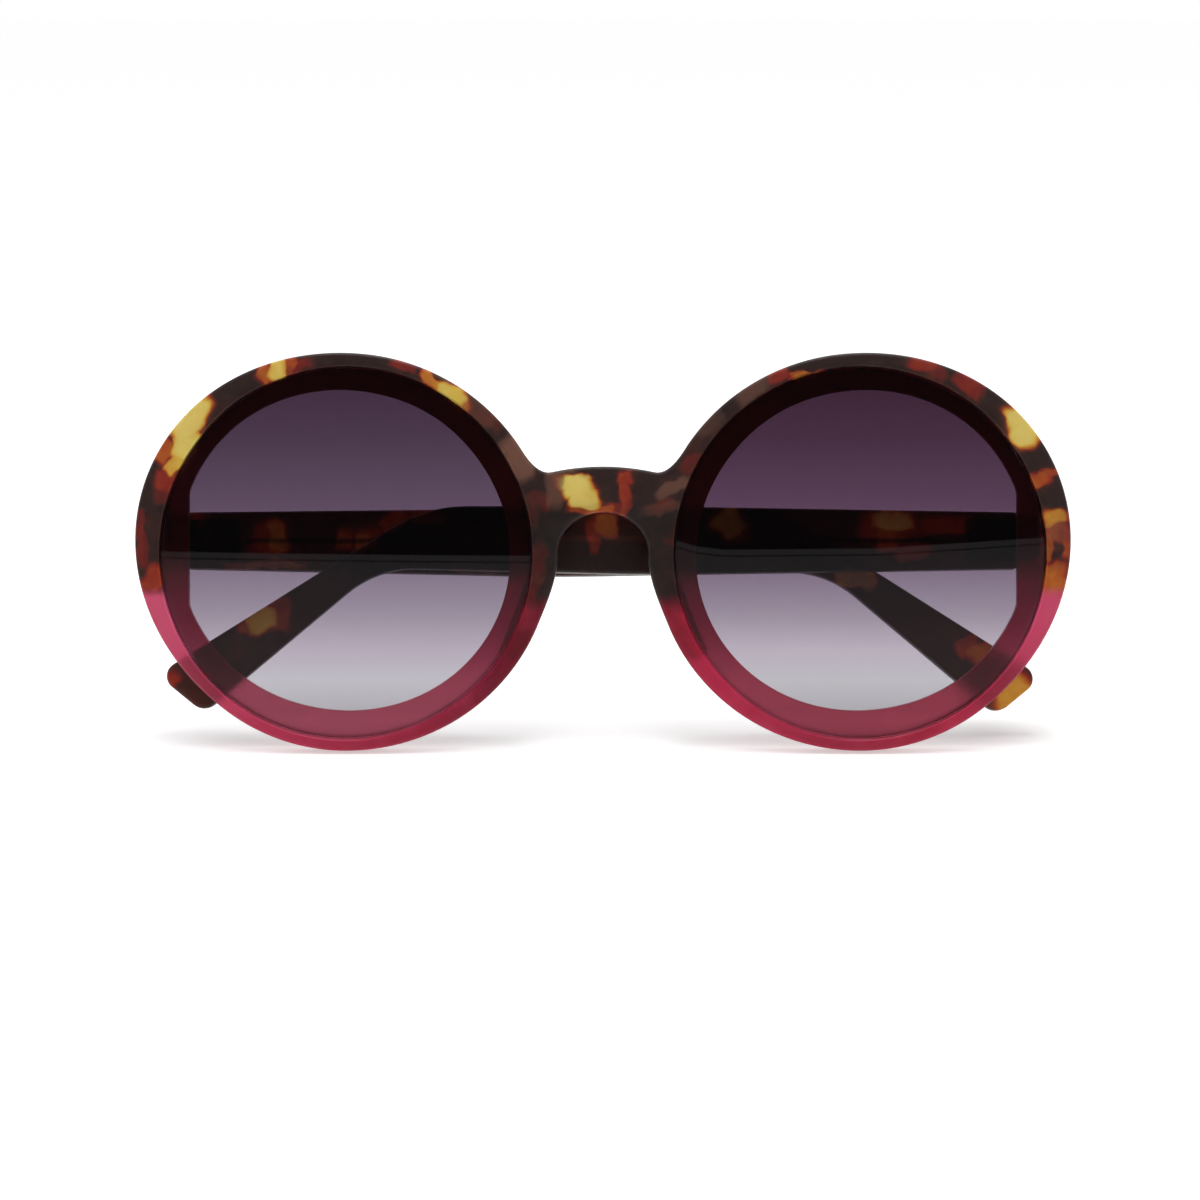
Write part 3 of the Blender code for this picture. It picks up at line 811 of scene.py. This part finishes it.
# The darker stop at -24.3 mm is a painted shadow of the floor seen through the lens.
lens_tints_with_painted_shadow = {
    "right": [
        (-26.2, (0.440, 0.425, 0.462)),
        (-24.3, (0.392, 0.378, 0.410)),
        (-19.7, (0.425, 0.409, 0.446)),
        (-15.0, (0.365, 0.323, 0.385)),
        (-10.4, (0.272, 0.230, 0.284)),
        (-7.6, (0.225, 0.187, 0.245)),
        (0.0, (0.145, 0.105, 0.155)),
        (7.4, (0.093, 0.059, 0.098)),
        (17.5, (0.061, 0.0355, 0.0625)),
        (25.0, (0.049, 0.026, 0.049)),
    ],
    "left": [
        (-26.2, (0.425, 0.411, 0.446)),
        (-24.3, (0.380, 0.367, 0.398)),
        (-19.7, (0.415, 0.400, 0.432)),
        (-15.0, (0.385, 0.342, 0.402)),
        (-10.4, (0.272, 0.230, 0.284)),
        (-7.6, (0.220, 0.180, 0.238)),
        (0.0, (0.132, 0.086, 0.136)),
        (7.4, (0.082, 0.044, 0.079)),
        (17.5, (0.053, 0.0245, 0.047)),
        (25.0, (0.041, 0.018, 0.035)),
    ],
}


def dyed_with_painted_shadow(side):
    """Clear polished plastic with the dye of one lens, graduated by height, and a painted shadow
    band near the bottom.
    """
    made = bpy.data.materials.new(f"lens_dye_and_painted_shadow_{side}")
    made.use_nodes = True
    tree = made.node_tree
    shader = tree.nodes["Principled BSDF"]
    height = node(tree, "ShaderNodeSeparateXYZ", {0: in_front_plane(tree)}).outputs["Z"]
    height = ranged(tree, height, -lens_radius, lens_radius, smooth=False)
    dye = colour_ramp(tree, height, [
        ((up / 1000 + lens_radius) / (2 * lens_radius), colour)
        for up, colour in lens_tints_with_painted_shadow[side]
    ])
    tree.links.new(dye, shader.inputs["Base Color"])
    shader.inputs["Transmission Weight"].default_value = 1.0
    shader.inputs["Roughness"].default_value = 0.0
    shader.inputs["IOR"].default_value = 1.5
    return made


for side, sign in sides.items():
    disc = turned([
        (0, lens_set_back), (lens_radius - lens_chamfer, lens_set_back),
        (lens_radius, lens_set_back + lens_chamfer), (lens_radius, lens_back - lens_chamfer),
        (lens_radius - lens_chamfer, lens_back), (0, lens_back),
    ])
    middle = stand @ Matrix.Translation((sign * half_spacing, 0, 0))
    lens = placed(disc, f"dyed_lens_{side}", middle, sharp=20)
    lens.data.materials.append(dyed_with_painted_shadow(side))
    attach(lens, "front")
    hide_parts(f"lens_{side}")

# Nose pads: built-up acetate pads, bonded behind the rims beside the nose and
# tumbled round at the back, in the same two colours as the front, with the painted
# light of its thin ledges. They are lower and narrower towards both ends.
pad_depth = 0.0046
pad_sink = 0.0003
pad_edge_margin = 0.0004
pad_inner_margin = 0.0022
pad_edge_round = 0.0009
pad_top_deg = 189
pad_sweep_deg = 24
pad_steps = 18
pad_splay = 0.0012
pad_end_share = 0.3
pad_end_narrowing = 0.0004
# The whole pad lies within this reach, so it takes the ledges' painted light.
pad_thin_within = 0.036
pad_look = acetate(
    "pad_acetate_finish", two_tone(clear=0.95, thin_within=pad_thin_within), gloss=0.24
)
for side, sign in sides.items():
    bm = bmesh.new()
    rings = []
    for n in range(pad_steps + 1):
        turn = math.radians(pad_top_deg + pad_sweep_deg * n / pad_steps)
        bulge = math.sin(math.pi * n / pad_steps)
        slim = pad_end_narrowing * (1 - bulge)
        share = pad_end_share + (1 - pad_end_share) * bulge
        top = front_thickness + pad_sink + pad_depth * share
        outer = beside_lens(rim_reach(turn) - pad_edge_margin - slim, turn)
        inner = beside_lens(ledge_reach(turn) + pad_inner_margin + slim, turn)
        rings.append([
            bm.verts.new((sign * outer.x, front_thickness, outer.y)),
            bm.verts.new((sign * inner.x, front_thickness, inner.y)),
            bm.verts.new((sign * inner.x, top, inner.y)),
            bm.verts.new((sign * (outer.x + pad_splay), top, outer.y)),
        ])
    for ring, following in zip(rings, rings[1:]):
        for n in range(4):
            after = (n + 1) % 4
            bm.faces.new((ring[n], ring[after], following[after], following[n]))
    bm.faces.new(rings[0])
    bm.faces.new(rings[-1])
    raised = {vert for ring in rings for vert in ring[2:]}
    back = {face for face in bm.faces if raised.issuperset(face.verts)}
    ends = {*rings[0], *rings[-1]}
    edges = [
        edge for edge in bm.edges
        if len(back.intersection(edge.link_faces)) == 1
        or ends.issuperset(edge.verts) and len(raised.intersection(edge.verts)) == 1
    ]
    rounded_edges(bm, edges, pad_edge_round, 6)
    pad = placed(bm, f"bonded_pad_{side}", stand, sharp=40)
    pad.data.materials.append(pad_look)
    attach(pad, "front")
    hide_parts(f"nose_pad_{side}")

# Temples: bars of tortoise acetate, sawn from sheet, bent down behind the ear and
# tumbled, each notched for its hinge and slotted for the leaf heat-sunk in it. A
# corner has its distance from the hinge, its height and its radius.
temple_length = 0.1357
temple_thickness = 0.0036
temple_taper = 0.0006
temple_corners = [
    (half_joint_gap, 0.0044, 0.0010),
    (0.0590, 0.0052, 0.35),
    (temple_length - 0.0420, 0.0051, 0.022),
    (temple_length, -0.0215, 0.0022),
    (temple_length - 0.0074, -0.0275, 0.0026),
    (temple_length - 0.0344, -0.00465, 0.016),
    (0.0590, -0.0056, 0.35),
    (half_joint_gap, -0.0045, 0.0010),
]
notch_depth = 0.0014
notch_end = 0.0020
notch_half_height = 0.0036
slot_near = 0.00105
slot_far = 0.00185
slot_end = 0.0086
temple_clouds = [
    (-51.4, 2.6, 2.4, 1.5, 88, 0.66),
    (-53.2, 2.4, 2.4, 2.2, 88, 0.44),
    (-40.7, 2.2, 1.6, 1.1, 80, 0.52),
    (-38.0, 1.7, 1.5, 1.1, 80, 0.62),
    (-36.8, 2.2, 1.8, 1.8, 80, 0.44),
    (-32.8, 5.2, 2.2, 1.2, 30, 0.48),
    (-27.4, 5.8, 2.4, 1.1, 0, 0.46),
    (-65.0, 5.3, 2.2, 1.2, 0, 0.42),
    (-52.0, -1.9, 4.2, 0.6, 2, 0.62),
    (-57.2, -2.2, 2.0, 0.6, 0, 0.46),
    (-53.6, -10.5, 2.2, 1.5, 25, 0.82),
    (-50.6, -9.4, 1.6, 2.4, 0, 0.44),
    (-55.7, -11.3, 1.8, 0.8, 20, 0.50),
    (-68.0, -20.8, 2.2, 1.1, 60, 0.40),
    (-65.0, -23.7, 2.2, 0.6, -35, 0.48),
    (0.5, 4.1, 1.6, 1.5, 90, 0.62),
    (-1.4, 2.7, 2.4, 0.8, 90, 0.42),
    (19.7, 4.6, 2.1, 1.8, -45, 0.95),
    (20.0, 4.6, 2.9, 2.4, -45, 0.42),
    (45.8, 5.0, 3.0, 1.2, 0, 0.88),
    (45.2, 4.2, 4.2, 2.1, 0, 0.46),
    (44.6, 2.2, 1.6, 1.6, 90, 0.54),
    (54.0, 4.4, 3.6, 1.5, 0, 0.46),
    (48.7, 0.2, 2.6, 1.2, 0, 0.46),
    (40.4, -4.2, 2.6, 1.1, 0, 0.74),
    (60.4, -15.3, 2.4, 1.3, 30, 0.56),
    (57.8, -14.6, 1.6, 1.4, 30, 0.44),
    (64.9, -22.4, 3.2, 2.4, 40, 0.73),
]
temple_hazes = [
    (-19.7, -2.4, 2.6, 0.9, 0, 0.9),
    (40.4, -4.2, 2.4, 1.1, -20, 0.7),
    (-52.6, -2.0, 3.6, 0.6, 2, 0.6),
    (0.5, 4.1, 1.6, 1.5, 90, 0.45),
]
temple_warmth = (0.020, 0.001, 0.0)
temple_clear = 0.6


def temple_colour_at(tree, place):
    """Tortoise, a little redder than the front's, and how clear it is."""
    colour = tortoise(tree, place, temple_clouds, temple_hazes)
    warmed = node(tree, "ShaderNodeVectorMath", {0: colour, 1: temple_warmth}, operation="ADD")
    return warmed.outputs[0], temple_clear


def rounded(corners):
    """A polygon whose corners, given as along, height and radius, are made arcs."""
    points = []
    for n, (along, height, radius) in enumerate(corners):
        here = Vector((along, height))
        before = (Vector(corners[n - 1][:2]) - here).normalized()
        after = (Vector(corners[(n + 1) % len(corners)][:2]) - here).normalized()
        turn = math.pi - before.angle(after)
        reach = radius * math.tan(turn / 2)
        middle = here + (before + after).normalized() * radius / math.cos(turn / 2)
        arm = here + before * reach - middle
        swing = arm.angle_signed(here + after * reach - middle)
        steps = max(4, round(math.degrees(turn) / 4))
        for step in range(steps + 1):
            turned_arm = arm.copy()
            turned_arm.rotate(Matrix.Rotation(-swing * step / steps, 2))
            points.append(middle + turned_arm)
    return points


temple_look = acetate("temple_acetate", temple_colour_at, gloss=0.12)
for side, sign in sides.items():
    bm = bmesh.new()
    face = bm.faces.new([
        bm.verts.new((sign * hinge_offset, p.x, p.y)) for p in rounded(temple_corners)
    ])
    grown = bmesh.ops.extrude_face_region(bm, geom=[face])["geom"]
    for vert in grown:
        if isinstance(vert, bmesh.types.BMVert):
            thick = temple_thickness - temple_taper * vert.co.y / temple_length
            vert.co.x = sign * (hinge_offset + thick)
    bmesh.ops.recalc_face_normals(bm, faces=bm.faces)
    middle = hinge_offset + temple_thickness / 2
    edges = [e for e in bm.edges if len({abs(v.co.x) > middle for v in e.verts}) == 1]
    rounded_edges(bm, edges, edge_round, 4)
    temple = placed(bm, f"temple_bar_{side}", temple_frames[side])
    notch = block(
        (sign * (hinge_offset - overrun), -overrun, -notch_half_height),
        (sign * (hinge_offset + notch_depth), notch_end, notch_half_height),
    )
    notch = placed(notch, f"notch_{side}", temple_frames[side])
    slot = block(
        (sign * (hinge_offset + slot_near), -overrun, -leaf_half_height),
        (sign * (hinge_offset + slot_far), slot_end, leaf_half_height),
    )
    slot = placed(slot, f"leaf_slot_{side}", temple_frames[side])
    machined(temple, [], [notch, slot])
    temple.data.materials.append(temple_look)
    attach(temple, f"{side}_temple")
    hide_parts(f"temple_{side}")

# Hinges: five-barrel hinges plated with black nickel, their leaves heat-sunk in the
# acetate, with a steel screw down the barrels. The core wires are steel too. Each
# finish has its colour and how fine its marks are.
finishes = {
    "black_nickel": ((0.085, 0.080, 0.075), 1800.0),
    "bright_steel": ((0.60, 0.60, 0.61), 2600.0),
}
dull_share = 0.86
metal_looks = {}
for name, (colour, scale) in finishes.items():
    made = bpy.data.materials.new(f"{name}_finish")
    made.use_nodes = True
    tree = made.node_tree
    shader = tree.nodes["Principled BSDF"]
    place = node(tree, "ShaderNodeTexCoord").outputs["Object"]
    marks = cloudy(tree, place, scale).outputs["Fac"]
    dull = [dull_share * channel for channel in colour]
    tree.links.new(
        mixed_colour(tree, ranged(tree, marks, 0.3, 0.7), dull, colour),
        shader.inputs["Base Color"],
    )
    shader.inputs["Metallic"].default_value = 1.0
    tree.links.new(ranged(tree, marks, 0.3, 0.7, 0.22, 0.36), shader.inputs["Roughness"])
    metal_looks[name] = made
for name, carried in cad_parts.items():
    if name.startswith("hinge_") or name.startswith("core_wire"):
        kind = "black_nickel" if "leaf" in name else "bright_steel"
        for each in carried.material_slots:
            each.material = metal_looks[kind]
